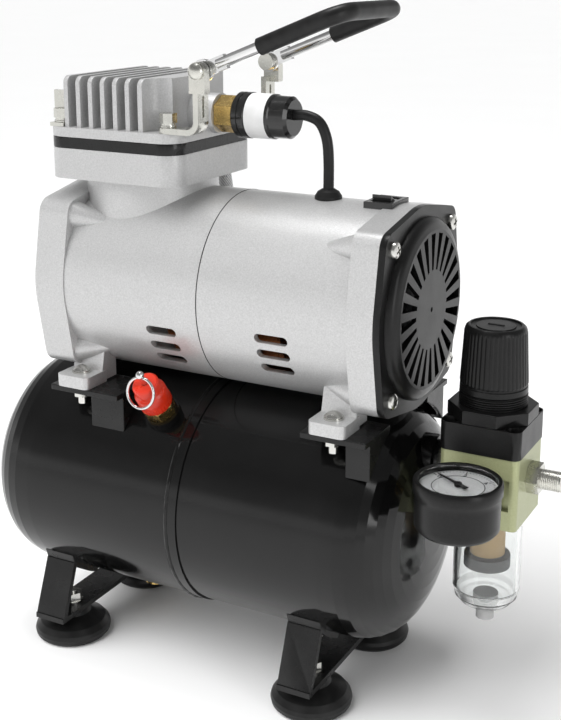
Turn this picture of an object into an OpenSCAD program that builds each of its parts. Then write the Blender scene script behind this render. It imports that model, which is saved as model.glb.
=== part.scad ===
// Airbrush compressor: a single-cylinder piston pump and its motor on a small air tank,
// with a filter regulator, a pressure switch, a relief valve and a folding carrying handle.
// Millimetres, +X towards the fan and the regulator, -Y towards the gauge side, +Z up.
// Lengths along X are given from a station plane near the middle of the tank, and
// on_stand() moves the whole object so that its box is centred over the origin.

/* [Tank] */
// Outer radius of the tank
tank_r = 63; // [60:0.5:66]
// Height of the tank axis above the bench
tank_z = 94; // [93:0.5:96]
// Station of the left end of the tank
tank_x0 = -124; // [-126:0.5:-122]
// Station of the right end of the tank
tank_x1 = 129; // [127:0.5:131]
// Station of the weld seam
seam_x = 8; // [5:0.5:11]
// Sheet thickness of the tank
tank_wall = 2; // [1.5:0.1:3]
// Length of each domed end
dome_len = 38; // [34:0.5:42]

/* [Cradles and feet] */
// Station of the left pair of feet
foot_x0 = -78; // [-80:0.5:-76]
// Station of the right pair of feet
foot_x1 = 77; // [75:0.5:79]
// Distance of each foot from the middle plane
foot_y = 38; // [36:0.5:40]
// Widest radius of a rubber foot
foot_r = 21.5; // [20:0.5:23]
// Height of a rubber foot
foot_h = 15.7; // [15:0.1:16.5]
// Width of a cradle strap
strap_w = 19; // [16:0.5:22]
// Thickness of a cradle strap
strap_t = 3; // [2.5:0.1:3.5]

/* [Motor] */
// Height of the motor shaft
motor_z = 210; // [209.5:0.1:211]
// Outer radius of the motor housing
motor_r = 51; // [50.5:0.1:51.5]
// Wall thickness of the motor housing
motor_wall = 3.5; // [3:0.1:4]
// Distance of each corner screw from the shaft, along Y and along Z
screw_s = 37; // [36:0.5:38]
// Radius of the corner bosses
boss_r = 8.5; // [8:0.1:9]
// Distance that the crankcase end sits left of the station plane
motor_left = 80; // [79:0.5:81]
// Station of the joint between the two housing halves
motor_seam = 18; // [16:0.5:20]
// Station of the fan end of the housing
motor_right = 114.5; // [113.5:0.5:115.5]

/* [Pump] */
// Distance of the cylinder axis left of the station plane
pump_left = 40; // [39.5:0.1:40.5]
// Half width of the square cylinder head
head_half = 40.5; // [40:0.1:41]
// Radius of the head's corners
head_corner = 11; // [9:0.5:13]
// Radius of the cylinder bore
bore_r = 22; // [21:0.1:22]
// Throw of the eccentric, half of the stroke
throw = 4; // [3:0.1:4]
// Thickness of a cooling fin
fin_t = 2.6; // [2:0.1:3]
// Distance from fin to fin
fin_pitch = 7.7; // [7.4:0.1:7.8]

/* [Handle] */
// Angle of the folding handle above the horizontal
handle_angle = 21.5; // [18:0.5:30]
// Length of the handle from its pivots to the grip
handle_len = 80; // [76:1:82]
// Radius of the chromed rod
rod_r = 2.8; // [2.6:0.1:3]
// Radius of the rubber sleeve
sleeve_r = 4.3; // [3.8:0.1:4.6]

/* [Regulator] */
// Station of the regulator axis
reg_x = 156; // [155.5:0.1:157]
// Width of the square regulator body
reg_w = 40; // [39:0.5:40]
// Height of the air ports
port_z = 131; // [130:0.5:132]
// Radius of the threaded nipples
nipple_r = 4.86; // [4.5:0.01:5]
// Radius of the filter bowl
bowl_r = 17; // [16:0.1:17.5]
// Radius of the gauge
gauge_r = 21.1; // [20.5:0.1:21.3]

/* [Hidden] */
$fn = 48;

// Where the station plane stands in the finished frame
station_x = -34.2;
station_y = -1.3;

motor_x0 = -motor_left;
pump_x = -pump_left;
black = [0.07, 0.07, 0.075];
silver = [0.74, 0.75, 0.75];
zinc = [0.62, 0.62, 0.6];
chrome = [0.8, 0.8, 0.82];
brass = [0.76, 0.6, 0.27];
steel = [0.5, 0.5, 0.52];
rubber = [0.05, 0.05, 0.05];
olive = [0.66, 0.67, 0.48];
red = [0.85, 0.12, 0.06];

// Cover plate, screws and fan cover
cover_t = 2.5;
fan_flange_x = motor_right + 3.5;
fan_face_x = motor_right + 9;
fan_dome_r = 46;

// Levels of the pump stack
neck_side = 35.5;
block_z0 = 266.5;
block_z1 = 282.5;
valve_z1 = 288.5;
plate_z1 = 293.5;
fin_z1 = 320;
head_bolt_x = head_half - 7.3;
head_bolt_y = head_half - 6.2;
crown_z1 = block_z1 - 1 - throw;

// Motor mounting pads, on brackets welded to the tank
pad_x = [-59, 92];
pad_y = 45;
pad_z0 = 156;
pad_z1 = 162.5;
bracket_t = 3;

// Folding handle
pivot_x = 14;
pivot_z = 325.5;
arm_y = 33.3;
eye_t = 3;
lug_y0 = 35.2;
lug_y1 = 40.2;
bend_r = 11;
pivot_r = 2.5;
sleeve_start = [41, 34];

// Pressure switch
switch_z = 300.5;

// Regulator levels, on an axis a little behind the middle plane
reg_y = 3;
body_z0 = 109;
body_z1 = 145.7;
bonnet_z1 = 160;
ring_z1 = 166.8;
neck_r = 16.2;
neck_z1 = 172.6;
knob_z0 = 173;
knob_z1 = 206.3;
spindle_r = 4.5;
bowl_z0 = 59;

// Gauge
gauge_y = -44;
gauge_z0 = 118.5;
gauge_z1 = 143.5;
dial_z = 139;
needle_z = 140.2;

// Relief valve, on a boss on the near side of the tank
relief_at = [-10.4, -38.2, 143.3];
relief_tilt = 37;
relief_eye = 34.6;
ring_r = 8;
ring_wire = 0.75;

// Drain under the tank
drain_x = -45;

// Check valve on the far side of the tank, and the hose that feeds it
check_at = [-8.5, 45, 137.3];
check_tilt = 28;
outlet_z = 304;

// Lead from the pressure switch to the motor
lead_r = 2.7;
lead_route = [[47.1, 0, 302], [54, 0, 302], [61, 0, 299], [65, 0, 291], [66.2, 0, 280], [66.2, 0, 264]];
hose_r = 4.2;
hose_route = [
    [-40, 56.15, 304], [-40, 61, 303.6], [-39.6, 65, 298], [-38, 66, 285], [-36, 66, 265], [-32, 66, 240],
    [-26, 66, 215], [-17, 66.2, 194], [-10.2, 66, 180], [-8.5, 64, 173], [-8.5, 61.05, 167.5]
];

module on_stand() {
    translate([station_x, station_y, 0]) children();
}

// A flat outline with Y across and Z up, drawn out along X
module along_x(x0, x1) {
    translate([x0, 0, 0]) rotate([90, 0, 90]) linear_extrude(x1 - x0) children();
}

module cyl_x(x0, x1, r, y = 0, z = 0) {
    translate([x0, y, z]) rotate([0, 90, 0]) cylinder(h = x1 - x0, r = r);
}

module cyl_y(y0, y1, r, x = 0, z = 0) {
    translate([x, y0, z]) rotate([-90, 0, 0]) cylinder(h = y1 - y0, r = r);
}

module cyl_z(z0, z1, r, x = 0, y = 0) {
    translate([x, y, z0]) cylinder(h = z1 - z0, r = r);
}

module box(x, y, z) {
    translate([x[0], y[0], z[0]]) cube([x[1] - x[0], y[1] - y[0], z[1] - z[0]]);
}

// A solid turned about the X axis: points are [radius, station]
module turned_x(points) {
    rotate([0, 90, 0]) rotate_extrude() polygon(points);
}

module hexagon(across_flats) {
    circle(r = across_flats / 2 / cos(30), $fn = 6);
}

module rounded_square(half, r) {
    square([2 * half, 2 * (half - r)], center = true);
    square([2 * (half - r), 2 * half], center = true);
    for (sx = [-1, 1], sy = [-1, 1]) translate([sx * (half - r), sy * (half - r)]) circle(r = r);
}

// The outline of the pump's head: rounded corners and slightly bowed sides
module head_outline() {
    bow = 200;
    intersection() {
        rounded_square(head_half, head_corner);
        for (turn = [0:90:270]) rotate(turn) translate([head_half - bow, 0]) circle(r = bow);
    }
}

// A round outline with a lobe round each corner screw, joined by tangent lines
module lobed(big, at, small) {
    reach = at * sqrt(2);
    lean = acos((big - small) / reach);
    circle(r = big);
    for (turn = [0:90:270]) rotate(turn + 45) {
        translate([reach, 0]) circle(r = small);
        polygon([
            [big * cos(lean), -big * sin(lean)],
            [reach + small * cos(lean), -small * sin(lean)],
            [reach + small * cos(lean), small * sin(lean)],
            [big * cos(lean), big * sin(lean)]
        ]);
    }
}

// The four corner positions round the shaft
module at_corners(s) {
    for (sy = [-1, 1], sz = [-1, 1]) translate([0, sy * s, motor_z + sz * s]) children();
}

function dome_points(r, length, base) =
    [for (i = [0:12]) let (t = 7.5 * i) [r * pow(cos(t), 0.72), base + length * pow(sin(t), 0.72)]];

// A point on a smooth curve through the route, where t counts the route's points
function route_at(p, t) =
    let (
        last = len(p) - 1,
        i = min(floor(t), last - 1),
        f = t - i,
        a = p[max(i - 1, 0)],
        b = p[i],
        c = p[i + 1],
        d = p[min(i + 2, last)]
    )
    0.5 * (2 * b + f * (c - a) + f * f * (2 * a - 5 * b + 4 * c - d) + f * f * f * (3 * b - a - 3 * c + d));

function unit(v) = v / norm(v);

// A tube swept along a route: side is a direction that the route never takes
module swept(route, r, side, steps, sides = 10) {
    count = (len(route) - 1) * steps;
    points = [
        for (k = [0:count])
            let (
                here = route_at(route, k / steps),
                ahead = route_at(route, min(k + 1, count) / steps),
                back = route_at(route, max(k - 1, 0) / steps),
                way = unit(ahead - back),
                u = unit(cross(way, side)),
                v = cross(way, u)
            )
            for (s = [0:sides - 1]) here + r * (cos(360 * s / sides) * u + sin(360 * s / sides) * v)
    ];
    walls = [
        for (k = [0:count - 1], s = [0:sides - 1])
            let (a = k * sides + s, b = k * sides + (s + 1) % sides)
            [a, a + sides, b + sides, b]
    ];
    start_cap = [[for (s = [0:sides - 1]) s]];
    end_cap = [[for (s = [0:sides - 1]) count * sides + sides - 1 - s]];
    polyhedron(points, concat(walls, start_cap, end_cap), convexity = 6);
}

module relief_frame() {
    translate(relief_at) rotate([relief_tilt, 0, 0]) children();
}

module check_frame() {
    translate(check_at) rotate([-check_tilt, 0, 0]) children();
}

// --- Tank ---

// One half of the tank from the seam, before it is hollowed, lengths counted from the seam
module tank_half(r, length, dome) {
    turned_x(concat([[0, 0], [r, 0]], dome_points(r, dome, length - dome)));
}

module tank_hollow() {
    inner = tank_r - tank_wall;
    translate([seam_x, 0, tank_z]) {
        tank_half(inner, tank_x1 - seam_x - tank_wall, dome_len - tank_wall);
        mirror([1, 0, 0]) tank_half(inner, seam_x - tank_x0 - tank_wall, dome_len - tank_wall);
        cyl_x(-1, 1, inner);
    }
}

module tank_left_shell() {
    on_stand() color(black) difference() {
        union() {
            translate([seam_x, 0, tank_z]) mirror([1, 0, 0]) tank_half(tank_r, seam_x - tank_x0, dome_len);
            relief_frame() cyl_z(-5, 5, 9.5);
            check_frame() cyl_z(-5, 5, 9.5);
            cyl_z(tank_z - tank_r - 4.5, tank_z - tank_r + 1, 8, drain_x);
        }
        tank_hollow();
        relief_frame() cyl_z(-8, 6, 5);
        check_frame() cyl_z(-8, 6, 5);
        cyl_z(tank_z - tank_r - 6, tank_z - tank_r + 4, 3, drain_x);
    }
}

// The right half overlaps the left at the seam with a short lip
module tank_right_shell() {
    socket = [119, reg_y, 134];
    length = tank_x1 - seam_x;
    outer = dome_points(tank_r, dome_len, length - dome_len);
    inner = dome_points(tank_r - tank_wall, dome_len - tank_wall, length - dome_len);
    last = len(inner) - 1;
    lip = [
        [tank_r - tank_wall, 0], [tank_r, 0], [tank_r + 0.05, 0], [tank_r + 0.05, -3],
        [tank_r + 0.8, -3], [tank_r + 0.8, 3], [tank_r, 3]
    ];
    on_stand() color(black) difference() {
        union() {
            translate([seam_x, 0, tank_z])
                turned_x(concat(lip, outer, [for (i = [0:last]) inner[last - i]]));
            difference() {
                union() {
                    cyl_x(socket[0] - 10, 128.5, 12.5, reg_y, port_z);
                    cyl_x(socket[0], 131, 10, reg_y, port_z);
                }
                tank_hollow();
            }
        }
        cyl_x(socket[0], 132, nipple_r, reg_y, port_z);
    }
}

// The strap's outline across the tank: a tab welded along the tank, a leg and the flat base
module cradle_outline() {
    lean = [0.932, -0.361] * strap_t;
    foot = [-59, foot_h + 0.8];
    knee = [-46.8, 48];
    square_half = 59;
    for (side = [-1, 1]) scale([side, 1]) {
        polygon([foot, foot + lean, knee + lean, knee]);
        intersection() {
            translate([0, tank_z]) difference() {
                circle(r = tank_r + strap_t, $fn = 120);
                circle(r = tank_r, $fn = 120);
            }
            polygon([[-48, 53], [-44, 40], [-30, 30], [-24, 36], [-24, 46]]);
        }
    }
    translate([-square_half, foot_h]) square([2 * square_half, strap_t]);
}

module cradle(x) {
    color(black) difference() {
        along_x(x - strap_w / 2, x + strap_w / 2) cradle_outline();
        for (side = [-1, 1]) cyl_z(foot_h - 1, foot_h + strap_t + 1, 3.2, x, side * foot_y);
    }
}

module left_cradle() {
    on_stand() cradle(foot_x0);
}

module right_cradle() {
    on_stand() cradle(foot_x1);
}

// A suction foot: a lip on the bench, a dished underside and a domed back
module rubber_foot() {
    rotate_extrude() polygon([
        [3, foot_h], [9, foot_h], [10.5, foot_h - 2.6], [14.5, foot_h - 4.6], [18.5, foot_h - 6.8],
        [foot_r - 0.6, 6], [foot_r, 4], [foot_r - 0.5, 1.6], [foot_r - 2, 0], [foot_r - 7, 0],
        [foot_r - 10, 2.5], [6, 3.5], [3, 3.5]
    ]);
}

module feet(x) {
    color(rubber) for (side = [-1, 1]) translate([x, side * foot_y, 0]) rubber_foot();
}

module left_feet() {
    on_stand() feet(foot_x0);
}

module right_feet() {
    on_stand() feet(foot_x1);
}

// A bolt standing on its head, with a nut at the top
module foot_bolt() {
    cyl_z(3.5, foot_h + strap_t + 7, 3);
    translate([0, 0, foot_h + strap_t]) difference() {
        union() {
            cylinder(h = 1, r = 6);
            translate([0, 0, 1]) linear_extrude(4.6) hexagon(9.8);
        }
        translate([0, 0, -1]) cylinder(h = 8, r = 3);
    }
}

// A bolt down through a motor pad and its bracket, with a washer and a nut below
module pad_bolt() {
    cyl_z(pad_z0 - bracket_t - 8, pad_z1, 2.6);
    cyl_z(pad_z1, pad_z1 + 0.9, 5.1);
    intersection() {
        translate([0, 0, pad_z1 - 1.6]) sphere(r = 5.4);
        cyl_z(pad_z1, pad_z1 + 6, 4.5);
    }
    translate([0, 0, pad_z0 - bracket_t - 4]) difference() {
        linear_extrude(4) hexagon(8);
        translate([0, 0, -1]) cylinder(h = 6, r = 2.6);
    }
}

module frame_bolts() {
    on_stand() color(steel) for (side = [-1, 1]) {
        for (x = [foot_x0, foot_x1]) translate([x, side * foot_y, 0]) foot_bolt();
        for (x = pad_x) translate([x, side * pad_y, 0]) pad_bolt();
    }
}

// A folded bracket: the shelf that a motor pad stands on, and a box welded to the tank
module saddle_bracket(x, box_len) {
    x0 = x - 14;
    wall_x = x + 8;
    x1 = wall_x + box_len;
    difference() {
        union() {
            box([x0, x1], [24.5, 54], [pad_z0 - bracket_t, pad_z0]);
            box([wall_x, x1], [46, 48.5], [125, pad_z0]);
            box([wall_x, wall_x + 2.5], [24.5, 48.5], [125, pad_z0]);
            box([x1 - 2.5, x1], [24.5, 48.5], [125, pad_z0]);
        }
        translate([0, 0, tank_z]) cyl_x(x0 - 1, x1 + 1, tank_r);
        cyl_z(pad_z0 - 10, pad_z0 + 1, 2.6, x, pad_y);
    }
}

module saddle_brackets() {
    on_stand() color(black) for (side = [0, 1]) mirror([0, side, 0]) {
        saddle_bracket(pad_x[0], 21);
        saddle_bracket(pad_x[1], 13);
    }
}

// --- Motor ---

// Three ventilation slots, one above the other, on both sides of the housing
module vents(x0, x1, heights) {
    for (h = heights) for (end = [x0 + 2.4, x1 - 2.4]) cyl_y(-60, 60, 2.4, end, motor_z + h);
    for (h = heights) box([x0 + 2.4, x1 - 2.4], [-60, 60], [motor_z + h - 2.4, motor_z + h + 2.4]);
}

// A cast pad for a mounting bolt, and the web that joins it to the barrel
module motor_foot(x) {
    web = [[39.5, pad_z0 + 1], [39.5, pad_z1], [36, 178], [27, 178], [27, pad_z0 + 1]];
    for (side = [-1, 1]) difference() {
        union() {
            translate([x, side * 44.5, pad_z0]) linear_extrude(pad_z1 - pad_z0) rounded_square(10, 3);
            along_x(x - 9.5, x + 9.5) polygon([for (p = web) [side * p[0], p[1]]]);
        }
        cyl_z(pad_z0 - 1, pad_z1 + 1, 2.6, x, side * pad_y);
        translate([0, 0, motor_z]) cyl_x(x - 12, x + 12, motor_r - 1);
    }
}

// Cones that run from the lobes of a flange down into the barrel
module corner_gussets(x, way) {
    for (turn = [45:90:315]) translate([x, 0, motor_z]) rotate([turn, 0, 0])
        translate([0, 0, screw_s * sqrt(2)]) rotate([0, way * 102, 0])
            cylinder(h = 26, r1 = boss_r - 0.8, r2 = 2);
}

module motor_bores(x0, x1) {
    inner = motor_r - motor_wall;
    translate([0, 0, motor_z]) cyl_x(x0, x1, inner);
}

module front_housing() {
    bulkhead = [-22, -15];
    on_stand() color(silver) difference() {
        union() {
            translate([0, 0, motor_z]) {
                cyl_x(motor_x0, motor_seam, motor_r);
                along_x(motor_x0, motor_x0 + 16) lobed(motor_r + 0.6, screw_s, boss_r);
            }
            corner_gussets(motor_x0 + 13, 1);
            cyl_z(motor_z + 30, block_z0, neck_side, pump_x);
            motor_foot(pad_x[0]);
        }
        motor_bores(motor_x0 - 1, bulkhead[0]);
        motor_bores(bulkhead[1], motor_seam + 1);
        translate([0, 0, motor_z]) cyl_x(bulkhead[0] - 1, bulkhead[1] + 1, 11);
        cyl_z(motor_z + 20, block_z0 + 1, bore_r + 2.5, pump_x);
        vents(-14, 4, [-16.5, -25.5, -33.5]);
        at_corners(screw_s) cyl_x(motor_x0 - 1, motor_x0 + 14, 2);
    }
}

module rear_housing() {
    bulkhead = [80, 87];
    on_stand() color(silver) difference() {
        union() {
            translate([0, 0, motor_z]) {
                cyl_x(motor_seam, motor_right, motor_r);
                along_x(motor_right - 14, motor_right) lobed(motor_r + 0.6, screw_s, boss_r);
            }
            corner_gussets(motor_right - 10, -1);
            motor_foot(pad_x[1]);
        }
        motor_bores(motor_seam - 1, bulkhead[0]);
        motor_bores(bulkhead[1], motor_right + 1);
        translate([0, 0, motor_z]) {
            cyl_x(bulkhead[0] - 1, bulkhead[1] + 1, 11);
            for (turn = [0:60:300]) rotate([turn, 0, 0]) cyl_x(bulkhead[0] - 1, bulkhead[1] + 1, 10, 0, 31);
        }
        vents(50.5, 69, [-11.5, -20, -28.5]);
        at_corners(screw_s) cyl_x(motor_right - 12, motor_right + 1, 2);
        cyl_z(motor_z + 40, motor_z + 60, lead_r, 66.2);
        box([91.5, 104.5], [-9, 9], [motor_z + 40, motor_z + 60]);
        translate([0, 0, motor_z]) rotate([-25, 0, 0]) cyl_y(40, 60, 5, 72);
    }
}

module crankcase_cover() {
    on_stand() color(silver) difference() {
        translate([0, 0, motor_z]) union() {
            along_x(motor_x0 - cover_t, motor_x0) lobed(motor_r + 0.6, screw_s, boss_r);
            cyl_x(motor_x0 - cover_t - 1.5, motor_x0 - cover_t, 30);
        }
        at_corners(screw_s) cyl_x(motor_x0 - 5, motor_x0 + 1, 2);
    }
}

// A shallow drum with radial slots round a plain middle
module fan_cover() {
    slots = 24;
    on_stand() color(black) difference() {
        translate([0, 0, motor_z]) difference() {
            union() {
                along_x(motor_right, fan_flange_x) lobed(motor_r + 0.6, screw_s, boss_r);
                turned_x([
                    [0, fan_flange_x - 1], [fan_dome_r, fan_flange_x - 1], [fan_dome_r, fan_flange_x + 2],
                    [fan_dome_r - 2, fan_face_x - 1.4], [fan_dome_r - 6, fan_face_x], [0, fan_face_x]
                ]);
            }
            turned_x([
                [0, motor_right - 1], [fan_dome_r - 2.5, motor_right - 1], [fan_dome_r - 2.5, fan_flange_x + 1],
                [fan_dome_r - 6, fan_face_x - 2.5], [0, fan_face_x - 2.5]
            ]);
            for (k = [0:slots - 1]) rotate([360 * k / slots, 0, 0]) along_x(fan_face_x - 5, fan_face_x + 1)
                polygon([[-1, 20], [1, 20], [2.7, 38.3], [-2.7, 38.3]]);
            cyl_x(fan_face_x - 1.2, fan_face_x + 1, 1.3);
        }
        at_corners(screw_s) cyl_x(motor_right - 1, fan_flange_x + 1, 2);
    }
}

module panel_screws() {
    screw_head = 3;
    on_stand() color(steel) {
        at_corners(screw_s) {
            cyl_x(motor_right - 8, fan_flange_x, 2);
            cyl_x(fan_flange_x, fan_flange_x + screw_head, 4.2);
            cyl_x(motor_x0 - cover_t, motor_x0 + 8, 2);
            cyl_x(motor_x0 - cover_t - screw_head, motor_x0 - cover_t, 4.2);
        }
        for (sx = [-1, 1], sy = [-1, 1]) translate([reg_x + 16 * sx, reg_y + 16 * sy, 0]) {
            cyl_z(body_z1 - 8, body_z1 + 5, 1.6);
            cyl_z(body_z1 + 5, body_z1 + 8, 3);
        }
    }
}

module stator_core() {
    on_stand() color(steel) translate([0, 0, motor_z]) difference() {
        cyl_x(6, 46, motor_r - motor_wall - 0.3);
        cyl_x(5, 47, 24);
    }
}

module stator_windings() {
    on_stand() color([0.65, 0.33, 0.15]) translate([0, 0, motor_z]) for (x = [[-9, 6], [46, 61]])
        turned_x([
            [28, x[0] + 3], [31, x[0]], [41, x[0]], [44.5, x[0] + 3],
            [44.5, x[1] - 3], [44.5, x[1]], [28, x[1]], [28, x[1] - 3]
        ]);
}

module shaft_bearings() {
    on_stand() color(steel) translate([0, 0, motor_z]) for (x = [-22, 80]) difference() {
        cyl_x(x, x + 7, 11);
        cyl_x(x - 1, x + 8, 4.03);
    }
}

module rotor_shaft() {
    on_stand() color(steel) translate([0, 0, motor_z]) cyl_x(-48, 116, 4);
}

module rotor_core() {
    on_stand() color(zinc) translate([0, 0, motor_z]) difference() {
        cyl_x(6, 46, 23.5);
        cyl_x(5, 47, 4);
    }
}

module cooling_fan() {
    blades = 8;
    on_stand() color(black) translate([0, 0, motor_z]) difference() {
        union() {
            cyl_x(92, 112, 12);
            cyl_x(92, 94, 36);
            for (k = [0:blades - 1]) rotate([360 * k / blades, 0, 0])
                box([93, 111], [-1, 1], [8, 36]);
        }
        cyl_x(91, 113, 4);
    }
}

// The eccentric's middle stands level with the shaft, half way through the stroke
module eccentric() {
    on_stand() color(steel) translate([0, 0, motor_z]) difference() {
        union() {
            cyl_x(-46, -34, 8.5, throw);
            difference() {
                cyl_x(-34, -28, 20);
                box([-35, -27], [2, 30], [-30, 30]);
            }
            cyl_x(-34, -28, 8);
        }
        cyl_x(-49, -20, 4);
    }
}

// --- Pump ---

module cylinder_sleeve() {
    on_stand() color(steel) difference() {
        cyl_z(240, block_z1, bore_r + 2.5, pump_x);
        cyl_z(239, block_z1 + 1, bore_r, pump_x);
    }
}

module head_bolt_holes(z0, z1) {
    for (sx = [-1, 1], sy = [-1, 1]) cyl_z(z0, z1, 2.6, pump_x + sx * head_bolt_x, sy * head_bolt_y);
}

module cylinder_block() {
    on_stand() color(silver) difference() {
        translate([pump_x, 0, block_z0]) linear_extrude(block_z1 - block_z0) head_outline();
        cyl_z(block_z0 - 1, block_z1 + 1, bore_r + 2.5, pump_x);
        head_bolt_holes(block_z0 + 3, block_z1 + 1);
    }
}

module valve_plate() {
    on_stand() color(black) difference() {
        translate([pump_x, 0, block_z1]) linear_extrude(valve_z1 - block_z1) head_outline();
        for (side = [-1, 1]) for (turn = [-30, 0, 30]) rotate_port(side, turn) cylinder(h = 9, r = 2);
        head_bolt_holes(block_z1 - 1, valve_z1 + 1);
    }
}

module rotate_port(side, turn) {
    translate([pump_x, 0, block_z1 - 1]) rotate(turn) translate([0, side * 12, 0]) children();
}

// The finned head: a plate, six fins, a solid end and a boss for the pressure switch
module cylinder_head() {
    first = -67.5;
    solid_x0 = first + 6 * fin_pitch - fin_t / 2;
    solid_x1 = -10;
    half = 38;
    on_stand() color(silver) difference() {
        union() {
            translate([pump_x, 0, valve_z1]) linear_extrude(plate_z1 - valve_z1) head_outline();
            for (k = [0:5]) fin(first + k * fin_pitch - fin_t / 2, first + k * fin_pitch + fin_t / 2, half);
            difference() {
                fin(solid_x0, solid_x1, half);
                for (side = [-1, 1]) cyl_z(plate_z1, fin_z1 + 1, 11, -9, side * 36);
            }
            cyl_x(solid_x1 - 1, -7, 11.8, 0, switch_z);
            cyl_x(solid_x1 - 1, 3.8, 10.5, 0, switch_z);
            cyl_y(half - 8, half + 5, 9, pump_x, outlet_z);
            box([first, solid_x0], [-30, 30], [plate_z1 - 1, plate_z1 + 5]);
        }
        for (side = [-1, 1])
            box([pump_x - 24, pump_x + 24], side < 0 ? [-24, -2] : [2, 24], [valve_z1 - 1, valve_z1 + 7]);
        box([pump_x - 6, pump_x + 6], [18, 34], [valve_z1 - 1, valve_z1 + 7]);
        cyl_x(solid_x1 - 14, 5, nipple_r, 0, switch_z);
        cyl_y(24, half + 6, nipple_r, pump_x, outlet_z);
        head_bolt_holes(valve_z1 - 1, plate_z1 + 1);
    }
}

module fin(x0, x1, half) {
    r = 4;
    top = fin_z1 - plate_z1 + 1;
    translate([0, 0, plate_z1 - 1]) along_x(x0, x1) {
        translate([-half, 0]) square([2 * half, top - r]);
        translate([-half + r, 0]) square([2 * (half - r), top]);
        for (side = [-1, 1]) translate([side * (half - r), top - r]) circle(r = r);
    }
}

module head_bolts() {
    on_stand() {
        color(steel) for (sx = [-1, 1], sy = [-1, 1]) {
            base = sx > 0 ? plate_z1 + 3 : (sy < 0 ? plate_z1 + 2 : plate_z1);
            translate([pump_x + sx * head_bolt_x, sy * head_bolt_y, 0]) {
                cyl_z(block_z0 + 4, base, 2.6);
                cyl_z(base, base + 1, 4.2);
                cyl_z(base + 1, base + 2.2, 3.7);
                translate([0, 0, base + 2.2]) linear_extrude(5) rotate(30) hexagon(7.8);
            }
        }
        color(chrome) for (side = [-1, 1]) scale_y(side) {
            cyl_y(arm_y - eye_t / 2, lug_y1, pivot_r, pivot_x, pivot_z);
            cyl_y(arm_y - eye_t / 2 - 3, arm_y - eye_t / 2 - 0.02, 4.4, pivot_x, pivot_z);
            cyl_y(lug_y1, lug_y1 + 1.2, 4.2, pivot_x, pivot_z);
            intersection() {
                translate([pivot_x, lug_y1 - 1.6, pivot_z]) sphere(r = 4.9);
                cyl_y(lug_y1, lug_y1 + 6, 4.2, pivot_x, pivot_z);
            }
        }
    }
}

module scale_y(side) {
    mirror([0, side < 0 ? 1 : 0, 0]) children();
}

// A one-piece piston and rod: the big end clears the whole orbit of the eccentric
module piston_rod() {
    eye_r = 8.5 + 2 * throw + 0.6;
    on_stand() color(zinc) {
        difference() {
            union() {
                cyl_z(crown_z1 - 6, crown_z1 - 1.2, bore_r - 0.4, pump_x);
                box([pump_x - 4, pump_x + 4], [-6, 6], [motor_z + eye_r + 1, crown_z1 - 5]);
                translate([0, 0, motor_z]) cyl_x(pump_x - 5, pump_x + 5, eye_r + 4.5);
            }
            translate([0, 0, motor_z]) cyl_x(pump_x - 6, pump_x + 6, eye_r);
        }
    }
}

module piston_cup() {
    on_stand() color([0.35, 0.28, 0.2]) cyl_z(crown_z1 - 1.2, crown_z1, bore_r - 0.06, pump_x);
}

// --- Handle ---

// A strap under a head bolt that turns up into a lug for the handle's pivot
module handle_bracket() {
    bend_x = 7;
    bend = 4;
    top = pivot_z - 8;
    y0 = head_bolt_y - 4.9;
    y1 = head_bolt_y + 4.9;
    bolt_x = pump_x + head_bolt_x;
    strip_x = bend_x + bend;
    difference() {
        union() {
            cyl_z(plate_z1, plate_z1 + 3, 4.9, bolt_x, head_bolt_y);
            box([bolt_x, bend_x], [y0, y1], [plate_z1, plate_z1 + 3]);
            translate([bend_x, y1, plate_z1 + 3 + bend]) rotate([90, 0, 0])
                rotate_extrude_quarter(bend, bend + 3, y1 - y0);
            box([strip_x, strip_x + 3], [y0, y1], [plate_z1 + 3 + bend, top]);
            box([pivot_x - 4.5, pivot_x + 4.5], [lug_y0, lug_y1], [top - 3, pivot_z]);
            cyl_y(lug_y0, lug_y1, 4.5, pivot_x, pivot_z);
        }
        cyl_z(plate_z1 - 1, plate_z1 + 4, 2.6, bolt_x, head_bolt_y);
        cyl_y(lug_y0 - 1, lug_y1 + 1, pivot_r, pivot_x, pivot_z);
        box([strip_x - 1, strip_x + 4], [head_bolt_y - 0.9, head_bolt_y + 0.9], [plate_z1 + 9, top - 4.5]);
    }
}

// A quarter of a ring that turns from pointing along X to pointing up
module rotate_extrude_quarter(inner, outer, width) {
    difference() {
        cylinder(h = width, r = outer);
        translate([0, 0, -1]) cylinder(h = width + 2, r = inner);
        translate([-outer - 1, -outer - 1, -1]) cube([outer + 1, 2 * outer + 2, width + 2]);
        translate([-outer - 1, 0, -1]) cube([2 * outer + 2, outer + 1, width + 2]);
    }
}

module head_brackets() {
    tab_x = pump_x - head_bolt_x;
    on_stand() color(zinc) {
        for (side = [-1, 1]) scale_y(side) handle_bracket();
        difference() {
            union() {
                box([tab_x - 4.6, tab_x + 4], [-39, -28], [plate_z1, plate_z1 + 2]);
                box([tab_x - 8.6, tab_x + 1], [-29.6, -27.6], [plate_z1 + 0.02, plate_z1 + 18]);
            }
            cyl_z(plate_z1 - 1, plate_z1 + 3, 2.6, tab_x, -head_bolt_y);
        }
    }
}

module handle_frame() {
    translate([pivot_x, 0, pivot_z]) rotate([0, -handle_angle, 0]) children();
}

// The bent bar of the handle from a given distance outwards on each side, lying flat with its pivots on Y
module bent_bar(start, r) {
    for (k = [0, 1]) {
        side = 2 * k - 1;
        cyl_x(start[1 - k], handle_len - bend_r, r, side * arm_y, 0);
        translate([handle_len - bend_r, side * (arm_y - bend_r), 0]) rotate(side > 0 ? 0 : -90)
            rotate_extrude(angle = 90) translate([bend_r, 0]) circle(r = r);
    }
    cyl_y(bend_r - arm_y, arm_y - bend_r, r, handle_len);
}

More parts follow.
